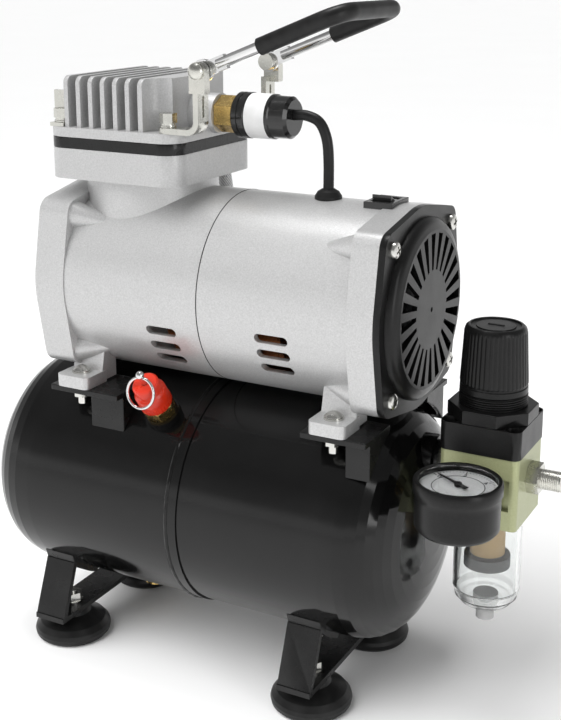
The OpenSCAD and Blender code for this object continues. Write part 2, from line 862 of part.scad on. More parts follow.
// The bar's ends are pressed flat round the pivots
module handle_bar() {
    on_stand() color(chrome) handle_frame() difference() {
        union() {
            bent_bar([9, 9], rod_r);
            for (side = [-1, 1]) {
                cyl_y(side * arm_y - eye_t / 2, side * arm_y + eye_t / 2, 5.6);
                box([0, 14], [side * arm_y - eye_t / 2, side * arm_y + eye_t / 2], [-3.6, 3.6]);
            }
        }
        cyl_y(-60, 60, pivot_r + 0.05);
    }
}

module handle_sleeve() {
    on_stand() color(rubber) handle_frame() difference() {
        bent_bar(sleeve_start, sleeve_r);
        bent_bar(sleeve_start - [2, 2], rod_r);
    }
}

// --- Switches ---

module switch_adapter() {
    on_stand() color(brass) translate([0, 0, switch_z]) difference() {
        union() {
            cyl_x(-10, 4, nipple_r);
            along_x(3.9, 15.2) rotate(30) hexagon(17);
        }
        cyl_x(-11, 16, 2);
    }
}

module switch_body() {
    on_stand() color(black) translate([0, 0, switch_z]) {
        turned_x([
            [0, 15.2], [10.9, 15.2], [11.9, 16.2], [11.9, 18.6], [11.3, 19], [11.3, 19.7], [11.9, 20.1],
            [11.9, 22.7], [11, 23.4], [0, 23.4]
        ]);
        turned_x([[0, 35], [11.5, 35], [11.5, 36.6], [10.9, 37.2], [10.8, 45.4], [9.2, 47], [0, 47]]);
    }
}

module switch_band() {
    on_stand() color([0.92, 0.92, 0.9]) translate([0, 0, switch_z]) cyl_x(23.4, 35, 11.6);
}

module switch_lead() {
    on_stand() color(rubber) swept(lead_route, lead_r, [0, 1, 0], 3);
}

module lead_grommet() {
    at = 66.2;
    top = motor_z + motor_r;
    on_stand() color(rubber) difference() {
        translate([at, 0, 0]) rotate_extrude()
            polygon([[0, top - 1.5], [7, top - 1.5], [7, top + 1.2], [5.5, top + 3.6], [3.2, top + 5], [0, top + 5]]);
        translate([0, 0, motor_z]) cyl_x(at - 10, at + 10, motor_r);
        cyl_z(top - 2, top + 6, lead_r + 0.05, at);
    }
}

// The gland that a mains cord would leave the housing through
module cord_gland() {
    on_stand() color(black) translate([72, 0, motor_z]) rotate([-25, 0, 0]) difference() {
        union() {
            cyl_y(motor_r - 3, motor_r + 1, 5);
            cyl_y(motor_r + 0.4, motor_r + 6, 7.5);
            cyl_y(motor_r + 6, motor_r + 14, 5.5);
        }
        cyl_y(motor_r - 4, motor_r + 15, 3);
    }
}

module rocker_bezel() {
    x = [90.3, 105.7];
    z0 = motor_z + motor_r - 1.3;
    on_stand() color(black) difference() {
        union() {
            box(x, [-10.5, 10.5], [z0, z0 + 3.6]);
            box([91.6, 104.4], [-8.9, 8.9], [z0 - 12, z0 + 1]);
        }
        translate([0, 0, motor_z]) difference() {
            union() {
                cyl_x(x[0] - 1, x[1] + 1, motor_r);
                cyl_x(100.3, x[1] + 1, motor_r + 0.65);
            }
            cyl_x(x[0] - 2, x[1] + 2, motor_r - 20);
            box([91.6, 104.4], [-8.9, 8.9], [30, 60]);
        }
        box([92.8, 103.2], [-7.6, 7.6], [z0 - 9, z0 + 5]);
    }
}

// The rocker's side view: two flat faces that meet over its pivot, its near end raised
module rocker_button() {
    z0 = motor_z + motor_r - 1.3;
    on_stand() color(black) translate([0, 0, z0]) difference() {
        along_x(93, 103) polygon([[-6, 6.8], [0.4, 3.2], [6, 3], [5.2, -2.5], [0, -5], [-5.2, -2.5]]);
        cyl_x(92, 104, 1, 0, 0.5);
    }
}

// --- Regulator ---

module on_regulator() {
    on_stand() translate([reg_x, reg_y, 0]) children();
}

module regulator_body() {
    half = reg_w / 2;
    on_regulator() color(olive) difference() {
        union() {
            translate([0, 0, body_z0]) linear_extrude(body_z1 - body_z0) rounded_square(half, 3);
        }
        cyl_x(-half - 1, -half + 9, nipple_r, 0, port_z);
        cyl_x(half - 9, half + 1, nipple_r, 0, port_z);
        cyl_y(-half - 1, -half + 9, nipple_r, 0, port_z);
        cyl_z(body_z0 - 1, body_z0 + 12, 14.5);
        for (side = [-1, 1]) box([side * 14 - 2, side * 14 + 2], [-half - 1, 3 - half], [119, 135]);
        cyl_z(body_z1 - 8, body_z1 + 1, 13);
        for (sx = [-1, 1], sy = [-1, 1]) cyl_z(body_z1 - 8, body_z1 + 1, 1.6, 16 * sx, 16 * sy);
    }
}

module regulator_bonnet() {
    on_regulator() color(black) difference() {
        union() {
            translate([0, 0, body_z1]) linear_extrude(bonnet_z1 - body_z1) rounded_square(20.5, 4);
            cyl_z(bonnet_z1, neck_z1, neck_r);
            cyl_z(neck_z1, 190, 12);
        }
        for (sx = [-1, 1], sy = [-1, 1]) translate([16 * sx, 16 * sy, 0]) {
            cyl_z(body_z1 - 1, body_z1 + 6, 1.6);
            cyl_z(body_z1 + 5, bonnet_z1 + 1, 4.2);
        }
        cyl_z(body_z1 - 1, 186, 9.5);
        cyl_z(185, 191, spindle_r + 0.05);
    }
}

module lock_ring() {
    on_regulator() color(black) difference() {
        translate([0, 0, bonnet_z1]) linear_extrude(ring_z1 - bonnet_z1) rotate(22.5) circle(r = 22.3, $fn = 8);
        cyl_z(bonnet_z1 - 1, ring_z1 + 1, neck_r);
    }
}

module regulator_spindle() {
    on_regulator() color(steel) {
        cyl_z(172, 203, spindle_r);
        cyl_z(176, 184.9, 8.5);
    }
}

module regulator_knob() {
    inner = 13;
    on_regulator() color(black) difference() {
        cyl_cone(knob_z0, knob_z1, 16.8, 15.4);
        cyl_z(knob_z0 - 1, 197, inner);
        cyl_z(196, 204.5, spindle_r + 0.05);
        cyl_z(knob_z1 - 0.6, knob_z1 + 1, 12.5);
    }
}

module cyl_cone(z0, z1, r0, r1) {
    translate([0, 0, z0]) cylinder(h = z1 - z0, r1 = r0, r2 = r1);
}

// The hexed nipples at the regulator's inlet and outlet
module regulator_nipples() {
    half = reg_w / 2;
    on_regulator() color(zinc) translate([0, 0, port_z]) {
        difference() {
            union() {
                cyl_x(half - 9, half, nipple_r);
                along_x(half, half + 6) hexagon(14);
                cyl_x(half + 6, half + 16.5, nipple_r);
            }
            cyl_x(half - 10, half + 18, 2.5);
        }
        difference() {
            union() {
                cyl_x(-half, 9 - half, nipple_r);
                along_x(131 - reg_x, -half) hexagon(14);
                cyl_x(121 - reg_x, 131 - reg_x, nipple_r);
            }
            cyl_x(120 - reg_x, 10 - half, 2.5);
        }
    }
}

module filter_bowl() {
    wall = 2;
    on_regulator() color([0.85, 0.9, 0.9, 0.4]) difference() {
        rotate_extrude() polygon([
            [0, bowl_z0], [bowl_r - 7, bowl_z0], [bowl_r - 3.5, bowl_z0 + 1.4], [bowl_r - 1, bowl_z0 + 4.5],
            [bowl_r, bowl_z0 + 9], [bowl_r, body_z0], [0, body_z0]
        ]);
        rotate_extrude() polygon([
            [0, bowl_z0 + wall], [bowl_r - 8, bowl_z0 + wall], [bowl_r - 4.5, bowl_z0 + wall + 2],
            [bowl_r - wall, bowl_z0 + 9], [bowl_r - wall, body_z0 + 1], [0, body_z0 + 1]
        ]);
        cyl_z(bowl_z0 - 1, bowl_z0 + wall + 1, 2.06);
    }
}

module filter_element() {
    on_regulator() {
        color([0.82, 0.7, 0.5]) difference() {
            cyl_z(86, body_z0 + 12, 8.8);
            cyl_z(86.5, body_z0 + 13, 5);
        }
        color(steel) cyl_z(80, 86, 11.7);
    }
}

module bowl_drain() {
    on_regulator() color([0.8, 0.8, 0.78]) {
        cyl_z(50, bowl_z0 - 0.05, 4.6);
        cyl_z(bowl_z0 - 1, 62, 2);
        cyl_z(bowl_z0 + 2.05, bowl_z0 + 5, 6.4);
    }
}

// --- Gauge ---

module on_gauge() {
    on_stand() translate([reg_x, gauge_y, 0]) children();
}

module gauge_case() {
    rim = gauge_r - 2.3;
    on_gauge() color(black) difference() {
        union() {
            rotate_extrude() polygon([
                [0, gauge_z0], [gauge_r - 2.6, gauge_z0], [gauge_r - 1, gauge_z0 + 2], [gauge_r - 0.8, gauge_z1 - 7],
                [gauge_r, gauge_z1 - 6], [gauge_r, gauge_z1 - 0.8], [gauge_r - 0.8, gauge_z1], [0, gauge_z1]
            ]);
        }
        cyl_z(dial_z - 1, gauge_z1 + 1, rim);
        cyl_y(gauge_r - 10, gauge_r + 1, nipple_r, 0, port_z);
    }
}

module gauge_dial() {
    on_gauge() color([0.8, 0.8, 0.78]) difference() {
        cyl_z(dial_z - 1, dial_z, gauge_r - 2.3);
        cyl_z(dial_z - 2, dial_z + 1, 1.05);
    }
}

module gauge_lens() {
    on_gauge() color([0.9, 0.95, 0.95, 0.3]) cyl_z(gauge_z1 - 2.1, gauge_z1 - 0.9, gauge_r - 2.3);
}

module gauge_stem() {
    on_stand() color(brass) difference() {
        union() {
            cyl_y(gauge_y + gauge_r - 10, reg_y - reg_w / 2 + 9, nipple_r, reg_x, port_z);
            translate([reg_x, gauge_y + gauge_r + 0.4, port_z]) rotate([-90, 0, 0]) linear_extrude(3.6)
                square(11, center = true);
        }
        cyl_y(gauge_y + gauge_r - 11, reg_y - reg_w / 2 + 10, 2, reg_x, port_z);
    }
}

// The needle points back and to the left, past its stop
module gauge_needle() {
    on_gauge() color([0.05, 0.05, 0.05]) rotate(150) {
        difference() {
            union() {
                cyl_z(dial_z - 0.9, dial_z + 0.6, 1);
                cyl_z(dial_z + 0.5, needle_z + 0.8, 1.8);
                translate([0, 0, needle_z]) linear_extrude(0.5)
                    polygon([[-6, -1.1], [0, -0.8], [15, -0.2], [15, 0.2], [0, 0.8], [-6, 1.1]]);
            }
        }
    }
}

// --- Relief valve, drain and transfer hose ---

module relief_base() {
    on_stand() color(brass) relief_frame() difference() {
        union() {
            cyl_z(-4, 5, 5);
            translate([0, 0, 5]) linear_extrude(7) hexagon(15);
        }
        cyl_z(-5, 13, 1.6);
    }
}

module relief_cap() {
    on_stand() color(red) relief_frame() difference() {
        rotate_extrude() polygon([
            [1.6, 12], [8, 12], [8.6, 12.8], [8.6, 22.4], [7.2, 24.4], [7.2, 29], [6.2, 30], [1.6, 30]
        ]);
        cyl_z(11, 31, 1.6);
    }
}

module relief_stem() {
    on_stand() color(chrome) relief_frame() difference() {
        union() {
            cyl_z(12.4, relief_eye + 2.6, 1.5);
            translate([0, 0, relief_eye + 2]) sphere(r = 2.2);
        }
        cyl_x(-5, 5, ring_wire + 0.35, 0, relief_eye);
    }
}

// Where the pull ring passes through the stem
function relief_point(h) =
    relief_at + h * [0, -sin(relief_tilt), cos(relief_tilt)];

module relief_ring() {
    hang = 8;
    on_stand() color(chrome) translate(relief_point(relief_eye)) rotate([-hang, 0, 0]) translate([0, 0, -ring_r])
        rotate([90, 0, 0]) rotate_extrude() translate([ring_r, 0]) circle(r = ring_wire);
}

module drain_screw() {
    base = tank_z - tank_r - 4.5;
    on_stand() color(brass) {
        cyl_z(base, base + 6, 2.94, drain_x);
        cyl_z(base - 4.5, base - 0.02, 6.5, drain_x);
        cyl_z(base - 0.1, base + 0.1, 2.9, drain_x);
    }
}

module transfer_hose() {
    on_stand() color([0.55, 0.56, 0.58]) swept(hose_route, hose_r, [1, 0, 0], 4);
}

// The elbow at the head and the check valve on the tank
module hose_fittings() {
    half = 43;
    on_stand() color(brass) {
        difference() {
            union() {
                cyl_y(half - 9, half, nipple_r, pump_x, outlet_z);
                translate([pump_x, half, outlet_z]) rotate([-90, 0, 0]) linear_extrude(7) hexagon(14);
                cyl_y(half + 7, half + 13, 5.2, pump_x, outlet_z);
            }
            cyl_y(half - 10, half + 14, 2, pump_x, outlet_z);
        }
        check_frame() difference() {
            union() {
                cyl_z(-4, 5, 5);
                translate([0, 0, 5]) linear_extrude(16) hexagon(15);
                cyl_z(21, 34, 5.2);
            }
            cyl_z(-5, 35, 2);
        }
    }
}

tank_left_shell();
tank_right_shell();
left_cradle();
right_cradle();
left_feet();
right_feet();
frame_bolts();
saddle_brackets();
front_housing();
rear_housing();
crankcase_cover();
fan_cover();
panel_screws();
stator_core();
stator_windings();
shaft_bearings();
rotor_shaft();
rotor_core();
cooling_fan();
eccentric();
cylinder_sleeve();
cylinder_block();
valve_plate();
cylinder_head();
head_bolts();
piston_rod();
piston_cup();
head_brackets();
handle_bar();
handle_sleeve();
switch_adapter();
switch_body();
switch_band();
switch_lead();
lead_grommet();
cord_gland();
rocker_bezel();
rocker_button();
regulator_body();
regulator_bonnet();
lock_ring();
regulator_spindle();
regulator_knob();
regulator_nipples();
filter_bowl();
filter_element();
bowl_drain();
gauge_case();
gauge_dial();
gauge_lens();
gauge_stem();
gauge_needle();
relief_base();
relief_cap();
relief_stem();
relief_ring();
drain_screw();
transfer_hose();
hose_fittings();
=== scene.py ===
import math

import bmesh
import bpy
from mathutils import Matrix, Vector


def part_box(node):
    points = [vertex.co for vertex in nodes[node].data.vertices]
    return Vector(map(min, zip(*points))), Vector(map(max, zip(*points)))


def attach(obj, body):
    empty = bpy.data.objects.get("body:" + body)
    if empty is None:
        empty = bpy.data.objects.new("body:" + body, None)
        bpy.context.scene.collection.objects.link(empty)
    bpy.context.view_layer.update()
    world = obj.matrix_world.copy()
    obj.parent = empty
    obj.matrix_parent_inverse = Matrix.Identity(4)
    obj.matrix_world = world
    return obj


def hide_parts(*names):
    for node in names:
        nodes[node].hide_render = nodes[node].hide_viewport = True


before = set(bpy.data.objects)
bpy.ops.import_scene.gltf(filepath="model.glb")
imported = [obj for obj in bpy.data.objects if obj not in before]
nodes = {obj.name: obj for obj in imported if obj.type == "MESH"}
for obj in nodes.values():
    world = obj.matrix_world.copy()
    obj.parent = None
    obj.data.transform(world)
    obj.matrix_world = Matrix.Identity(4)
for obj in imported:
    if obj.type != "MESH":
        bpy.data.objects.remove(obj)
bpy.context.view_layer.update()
scene = bpy.context.scene
TAU = 2 * math.pi
MOTOR_Z = 210  # height of the motor's axis above the floor, mm
NOISE_RANGE = (0.3, 0.7)  # where nearly all of a noise texture's values lie
SHIFT = Vector((-0.0342, -0.0013, 0))  # from the station plane to the row frame


def mm(x, y, z):
    """A point given in millimetres from the station plane, in the row frame in metres."""
    return Vector((x, y, z)) / 1000 + SHIFT


# ---------------------------------------------------------------- materials
class Mat:
    """A principled material whose colour, roughness and bump come from procedural nodes."""

    def __init__(self, name):
        self.m = bpy.data.materials.new(name)
        self.m.use_nodes = True
        self.t = self.m.node_tree
        self.b = self.t.nodes["Principled BSDF"]
        self.co = self.t.nodes.new("ShaderNodeTexCoord").outputs["Object"]
        self.normal = None

    def set(self, **values):
        for k, v in values.items():
            key = k.replace("_", " ").title().replace("Ior", "IOR")
            self.b.inputs[key].default_value = v

    def noise(self, scale, detail=3, rough=0.5, stretch=None):
        n = self.t.nodes.new("ShaderNodeTexNoise")
        n.inputs["Scale"].default_value = scale
        n.inputs["Detail"].default_value = detail
        n.inputs["Roughness"].default_value = rough
        self.t.links.new(self.mapped(stretch), n.inputs["Vector"])
        return n.outputs["Fac"]

    def mapped(self, stretch):
        if stretch is None:
            return self.co
        m = self.t.nodes.new("ShaderNodeMapping")
        m.inputs["Scale"].default_value = stretch
        self.t.links.new(self.co, m.inputs["Vector"])
        return m.outputs["Vector"]

    def waves(self, scale, axis="X", stretch=None):
        w = self.t.nodes.new("ShaderNodeTexWave")
        w.bands_direction = axis
        w.inputs["Scale"].default_value = scale
        self.t.links.new(self.mapped(stretch), w.inputs["Vector"])
        return w.outputs["Fac"]

    def color(self, fac, *stops):
        r = self.t.nodes.new("ShaderNodeValToRGB")
        e = r.color_ramp.elements
        while len(e) < len(stops):
            e.new(0.5)
        for el, (pos, c) in zip(e, stops):
            el.position = pos
            el.color = (*c, 1)
        self.t.links.new(fac, r.inputs["Fac"])
        self.t.links.new(r.outputs["Color"], self.b.inputs["Base Color"])

    def rough(self, fac, lo, hi):
        r = self.t.nodes.new("ShaderNodeMapRange")
        r.inputs["From Min"].default_value, r.inputs["From Max"].default_value = NOISE_RANGE
        r.inputs["To Min"].default_value = lo
        r.inputs["To Max"].default_value = hi
        self.t.links.new(fac, r.inputs["Value"])
        self.t.links.new(r.outputs["Result"], self.b.inputs["Roughness"])

    def bump(self, fac, strength, distance):
        n = self.t.nodes.new("ShaderNodeBump")
        n.inputs["Strength"].default_value = strength
        n.inputs["Distance"].default_value = distance
        self.t.links.new(fac, n.inputs["Height"])
        if self.normal is not None:
            self.t.links.new(self.normal, n.inputs["Normal"])
        self.normal = n.outputs["Normal"]
        self.t.links.new(self.normal, self.b.inputs["Normal"])


def height_mask(m, z):
    """0 below the height z of the row frame and 1 above it."""
    soft = 0.0004
    parts = m.t.nodes.new("ShaderNodeSeparateXYZ")
    r = m.t.nodes.new("ShaderNodeMapRange")
    r.inputs["From Min"].default_value = z - soft
    r.inputs["From Max"].default_value = z + soft
    m.t.links.new(m.co, parts.inputs["Vector"])
    m.t.links.new(parts.outputs["Z"], r.inputs["Value"])
    return r.outputs["Result"]


def painted(name, lo, hi, metallic, rough, grain, bump, depth, coat=0.0, level=0.5):
    """Paint or plastic: a colour between lo and hi with a fine grain; level is the specular level."""
    m = Mat(name)
    m.set(metallic=metallic, coat_weight=coat, coat_roughness=0.08)
    m.b.inputs["Specular IOR Level"].default_value = level
    m.color(m.noise(grain * 0.15, 4), *zip(NOISE_RANGE, (lo, hi)))
    m.rough(m.noise(90, 3), *rough)
    m.bump(m.noise(grain, 2), bump, depth)
    return m.m


def metal(name, lo, hi, rough, stretch, scale, bump):
    """Bare metal with a grain that stretch may draw out along an axis."""
    m = Mat(name)
    m.set(metallic=1.0)
    m.color(m.noise(60, 4), *zip(NOISE_RANGE, (lo, hi)))
    m.rough(m.noise(scale, 4, 0.6, stretch), *rough)
    m.bump(m.noise(scale * 2, 3, 0.6, stretch), bump, 0.0001)
    return m.m


def grey(v):
    return (v, v, v)


MATERIALS = {
    "tank": painted("tank_gloss_black", grey(0.003), grey(0.005), 0, (0.07, 0.13), 260, 0.03, 0.0005),
    "bracket": painted("bracket_black", grey(0.005), grey(0.010), 0, (0.2, 0.32), 500, 0.1, 0.0003),
    "rubber": painted("soft_rubber", grey(0.006), grey(0.012), 0, (0.36, 0.5), 1100, 0.16, 0.0002, 0, 0.3),
    "silver": painted("silver_enamel", grey(0.45), grey(0.56), 0.42, (0.30, 0.36), 9000, 0.3, 0.00008, 0.1),
    "cast": painted("cast_aluminium", grey(0.42), grey(0.52), 0.35, (0.37, 0.43), 8000, 0.3, 0.00008),
    "plastic": painted(
        "black_plastic", grey(0.004), grey(0.007), 0, (0.28, 0.36), 5000, 0.16, 0.00008, 0, 0.28
    ),
    "gloss": painted(
        "gloss_black_plastic", grey(0.008), grey(0.013), 0, (0.14, 0.25), 700, 0.05, 0.0001, 0.2
    ),
    "chrome": metal("handle_chrome", grey(0.70), grey(0.78), (0.08, 0.14), (1, 1, 1), 300, 0.02),
    "zinc": metal("zinc_plate", (0.58, 0.58, 0.54), (0.68, 0.67, 0.62), (0.2, 0.3), (1, 1, 1), 380, 0.03),
    "steel": metal(
        "bolt_steel", (0.56, 0.56, 0.53), (0.72, 0.71, 0.68), (0.17, 0.28), (1, 1, 1), 500, 0.03
    ),
    "core": metal("laminated_steel", grey(0.22), grey(0.36), (0.35, 0.5), (8, 1, 1), 300, 0.3),
    "brass": metal(
        "turned_brass", (0.64, 0.43, 0.14), (0.78, 0.56, 0.22), (0.2, 0.3), (1, 1, 1), 420, 0.03
    ),
    "red": painted(
        "relief_red", (0.56, 0.020, 0.004), (0.63, 0.030, 0.007), 0, (0.26, 0.36), 900, 0.06, 0.0001, 0.1
    ),
    "olive": painted(
        "olive_enamel", (0.35, 0.37, 0.20), (0.39, 0.41, 0.23), 0.3, (0.32, 0.38), 7000, 0.2, 0.00006, 0.1
    ),
    "label": painted("pale_label", grey(0.68), grey(0.76), 0, (0.35, 0.5), 900, 0.06, 0.0001),
    "grey_plastic": painted("grey_plastic", grey(0.34), grey(0.40), 0, (0.4, 0.55), 1300, 0.14, 0.0002),
    "dial": painted(
        "dial_face", (0.62, 0.63, 0.63), (0.70, 0.71, 0.71), 0, (0.35, 0.45), 800, 0.05, 0.0001
    ),
    "ink": painted("dial_ink", grey(0.008), grey(0.014), 0, (0.4, 0.5), 900, 0.05, 0.0001),
    # near-black matte: the housing joint's own dark line, and painted shade on the knob's slot bar
    "dark": painted("dark_joint_and_painted_slot_shade", grey(0.003), grey(0.006), 0, (0.6, 0.8), 900, 0.1, 0.0001),
    "seal": painted("cup_seal", (0.10, 0.07, 0.04), (0.16, 0.11, 0.07), 0, (0.5, 0.7), 1500, 0.2, 0.0002),
}


def winding():
    m = Mat("winding_copper")
    m.set(metallic=0.85)
    lines = m.waves(420, "X", (1, 1, 0.15))
    # the dark end of the bands is painted shade in the grooves between the wire turns; the bright end is the
    # copper's own colour
    m.color(lines, (0.0, (0.12, 0.035, 0.012)), (1.0, (0.62, 0.24, 0.09)))
    m.rough(m.noise(200), 0.25, 0.45)
    m.bump(lines, 0.8, 0.0004)
    return m.m


def braid():
    m = Mat("hose_braid")
    m.set(metallic=0.9)
    a = m.waves(330, "DIAGONAL")
    b = m.waves(330, "DIAGONAL", (1, -1, 1))
    # the dark end of the bands is painted shade in the gaps between the strands; the pale end is the steel's
    # own grey
    m.color(a, (0.0, grey(0.2)), (1.0, grey(0.62)))
    m.rough(m.noise(300), 0.25, 0.45)
    m.bump(a, 0.5, 0.0004)
    m.bump(b, 0.5, 0.0004)
    return m.m


def clear(name, tint, rough):
    m = Mat(name)
    m.set(transmission_weight=1.0, ior=1.42, base_color=(*tint, 1))
    m.rough(m.noise(60, 3), *rough)
    m.bump(m.noise(120, 2), 0.04, 0.0003)
    return m.m


def two_tone():
    """A pale brown filter above and its grey baffle below."""
    baffle_top = 0.0868
    m = Mat("filter_felt")
    m.color(height_mask(m, baffle_top), (0.4, grey(0.13)), (0.6, (0.50, 0.35, 0.18)))
    m.rough(m.noise(500), 0.6, 0.85)
    m.bump(m.noise(2600, 3), 0.5, 0.0003)
    return m.m


for name in ("tank", "bracket"):
    MATERIALS[name].node_tree.nodes["Principled BSDF"].inputs["IOR"].default_value = 1.4
MATERIALS["felt"] = two_tone()
MATERIALS["copper"] = winding()
MATERIALS["braid"] = braid()
MATERIALS["clear"] = clear("clear_bowl", (0.97, 0.985, 0.98), (0.02, 0.07))
MATERIALS["lens"] = clear("gauge_window", (0.99, 0.99, 0.99), (0.0, 0.02))

LOOKS = {
    "tank": "tank_left_shell tank_right_shell",
    "bracket": "left_cradle right_cradle saddle_brackets valve_plate",
    "rubber": "left_feet right_feet handle_sleeve switch_lead lead_grommet",
    "steel": "frame_bolts panel_screws",
    "silver": "front_housing rear_housing crankcase_cover",
    "plastic": "fan_cover cooling_fan cord_gland regulator_bonnet lock_ring regulator_knob gauge_case",
    "core": "stator_core shaft_bearings rotor_shaft rotor_core eccentric cylinder_sleeve regulator_spindle",
    "copper": "stator_windings",
    "cast": "cylinder_block cylinder_head piston_rod",
    "seal": "piston_cup",
    "zinc": "head_brackets head_bolts regulator_nipples",
    "chrome": "handle_bar relief_stem relief_ring",
    "brass": "switch_adapter gauge_stem relief_base drain_screw hose_fittings",
    "gloss": "switch_body rocker_bezel rocker_button",
    "label": "switch_band",
    "olive": "regulator_body",
    "clear": "filter_bowl",
    "felt": "filter_element",
    "grey_plastic": "bowl_drain",
    "dial": "gauge_dial",
    "lens": "gauge_lens",
    "ink": "gauge_needle",
    "red": "relief_cap",
    "braid": "transfer_hose",
}
for look, names in LOOKS.items():
    for n in names.split():
        slots = nodes[n].data.materials
        if not len(slots):
            slots.append(MATERIALS[look])
        for i in range(len(slots)):
            slots[i] = MATERIALS[look]


# ---------------------------------------------------------------- mesh tools
def skin(bm, rings, loop=False):
    """Joins each ring of vertices to the next; loop also joins the last one to the first."""
    for a, b in zip(rings, rings[1:] + rings[:1] if loop else rings[1:]):
        for k in range(len(a)):
            j = (k + 1) % len(a)
            bm.faces.new((a[k], a[j], b[j], b[k]))


def add(name, bm, look, body, smooth=True):
    """Makes the piece, with a look, that rides on a body and takes the look's material in a slot."""
    me = bpy.data.meshes.new(name)
    bmesh.ops.recalc_face_normals(bm, faces=bm.faces)
    bm.to_mesh(me)
    bm.free()
    ob = bpy.data.objects.new(name, me)
    scene.collection.objects.link(ob)
    me.materials.append(MATERIALS[look])
    if smooth:
        for p in me.polygons:
            p.use_smooth = True
        me.set_sharp_from_angle(angle=math.radians(32))
    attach(ob, body)
    return ob


def spin(bm, profile, seg, radius=None):
    """Turns a profile of (radius, height) about Z; radius(angle, r, h) may change a radius."""
    rings = []
    for r, h in profile:
        if r < 0.00002:
            rings.append([bm.verts.new((0, 0, h))])
            continue
        ring = []
        for k in range(seg):
            a = TAU * k / seg
            rr = radius(a, r, h) if radius else r
            ring.append(bm.verts.new((rr * math.cos(a), rr * math.sin(a), h)))
        rings.append(ring)
    for a, b in zip(rings, rings[1:] + rings[:1]):
        if len(a) == len(b):
            if len(a) > 1:
                skin(bm, [a, b])
            continue
        for k in range(seg):
            j = (k + 1) % seg
            bm.faces.new((a[0], b[j], b[k]) if len(a) == 1 else (a[k], a[j], b[0]))
    return bm


def pose(at, direction):
    """The matrix that moves the origin to a point and turns Z to a direction."""
    return Matrix.Translation(at) @ Vector(direction).to_track_quat("Z", "Y").to_matrix().to_4x4()


def place(bm, at, direction=(0, 0, 1)):
    bmesh.ops.transform(bm, matrix=pose(at, direction), verts=bm.verts)


def slab(size, bevel=None):
    """A box round the origin, perhaps with small bevels."""
    bm = bmesh.new()
    bmesh.ops.create_cube(bm, size=1)
    bmesh.ops.scale(bm, vec=size, verts=bm.verts)
    if bevel:
        bmesh.ops.bevel(bm, geom=bm.edges[:], offset=bevel, segments=2, affect="EDGES")
    return bm


def thread(start, turns, pitch, root, crest, rises):
    """The profile of a thread; rises are the four heights of a turn above its foot."""
    out = []
    for i in range(turns):
        foot = start + i * pitch
        out += [(r, foot + rise) for r, rise in zip((root, crest, crest, root), rises)]
    return out


def smooth_route(points, steps):
    """The Catmull-Rom curve through the points, which the solid follows too."""
    out = []
    last = len(points) - 1
    for k in range(last * steps + 1):
        t = k / steps
        i = min(int(t), last - 1)
        f = t - i
        a, b, c, d = (Vector(points[j]) for j in (max(i - 1, 0), i, i + 1, min(i + 2, last)))
        square = 2 * a - 5 * b + 4 * c - d
        cube = 3 * b - a - 3 * c + d
        out.append(0.5 * (2 * b + f * (c - a) + f * f * square + f**3 * cube))
    return out


def tube(name, route, r, side, look):
    """A round tube along a route in millimetres; side is a direction that the route never takes."""
    steps, sides = 8, 24
    turns = [TAU * k / sides for k in range(sides)]
    pts = [mm(*p) for p in smooth_route(route, steps)]
    bm = bmesh.new()
    rings = []
    for k, p in enumerate(pts):
        way = (pts[min(k + 1, len(pts) - 1)] - pts[max(k - 1, 0)]).normalized()
        u = way.cross(Vector(side)).normalized()
        v = way.cross(u)
        rings.append([bm.verts.new(p + r * (math.cos(t) * u + math.sin(t) * v)) for t in turns])
    skin(bm, rings)
    bm.faces.new(rings[0])
    bm.faces.new(rings[-1])
    return add(name, bm, look, "root")


# ---------------------------------------------------------------- regulator
lo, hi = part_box("regulator_knob")
axis = Vector(((lo.x + hi.x) / 2, (lo.y + hi.y) / 2, 0))
k0, k1 = lo.z, hi.z
knob_r0 = (hi.x - lo.x) / 2
knob_r1 = knob_r0 - 0.0014  # the knob narrows towards its top
RIBS = 44
SEGMENTS = 8 * RIBS
RIB_DEPTH = 0.00034
GROOVE = math.radians(-42)  # the side that the deep groove is on
GROOVE_HALF = 0.05  # half of its width, in radians
GROOVE_DEPTH = 0.0019
SOCKET_R = 0.0130  # the hollow under the knob, round the bonnet
SOCKET_Z = k0 + 0.0238
SPINDLE_R = 0.00455
SPINDLE_Z = k1 - 0.0018  # the end of the spindle's hole


def knob_radius(a, r, h):
    """Shallow ribs round the knob, and one deep groove that marks its setting."""
    if r < 0.0145 or not k0 + 0.0045 < h < k1 - 0.003:
        return r
    off = (a - GROOVE + math.pi) % TAU - math.pi
    if abs(off) < GROOVE_HALF and k0 + 0.0075 < h < k1 - 0.011:
        return r - GROOVE_DEPTH
    rib = 0.5 + 0.5 * math.cos(RIBS * a)
    return r - RIB_DEPTH * rib**2


def knob_profile():
    """Skirt, narrow waist, ribbed side, rounded top with a shallow ring, and the hollow below."""
    out = [(SOCKET_R, k0), (knob_r0 - 0.0003, k0), (knob_r0, k0 + 0.0004)]
    waist = [(0.0030, 0), (0.0034, 0.0005), (0.0042, 0.0005), (0.0046, 0)]
    out += [(knob_r0 - cut - 0.0001, k0 + dz) for dz, cut in waist]
    n = 30
    for i in range(n + 1):
        f = i / n
        out.append((knob_r0 + (knob_r1 - knob_r0) * f, k0 + 0.0050 + f * (k1 - k0 - 0.0082)))
    out += [(knob_r1 - 0.0002, k1 - 0.0024), (knob_r1 - 0.0007, k1 - 0.0010), (knob_r1 - 0.0018, k1 - 0.0001)]
    out += [(0.0128, k1), (0.0125, k1 - 0.0002), (0.0124, k1 - 0.0008), (0.0098, k1 - 0.0009)]
    out += [(0.0096, k1 - 0.0004), (0.0020, k1 - 0.0003), (0.00001, k1 - 0.0003)]
    out += [(0.00001, k1 - 0.0017), (SPINDLE_R, SPINDLE_Z), (SPINDLE_R, SOCKET_Z), (SOCKET_R, SOCKET_Z)]
    return out


bm = spin(bmesh.new(), knob_profile(), SEGMENTS, knob_radius)
place(bm, axis)
knob = add("knob_ribbed", bm, "plastic", "knob")
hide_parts("regulator_knob")
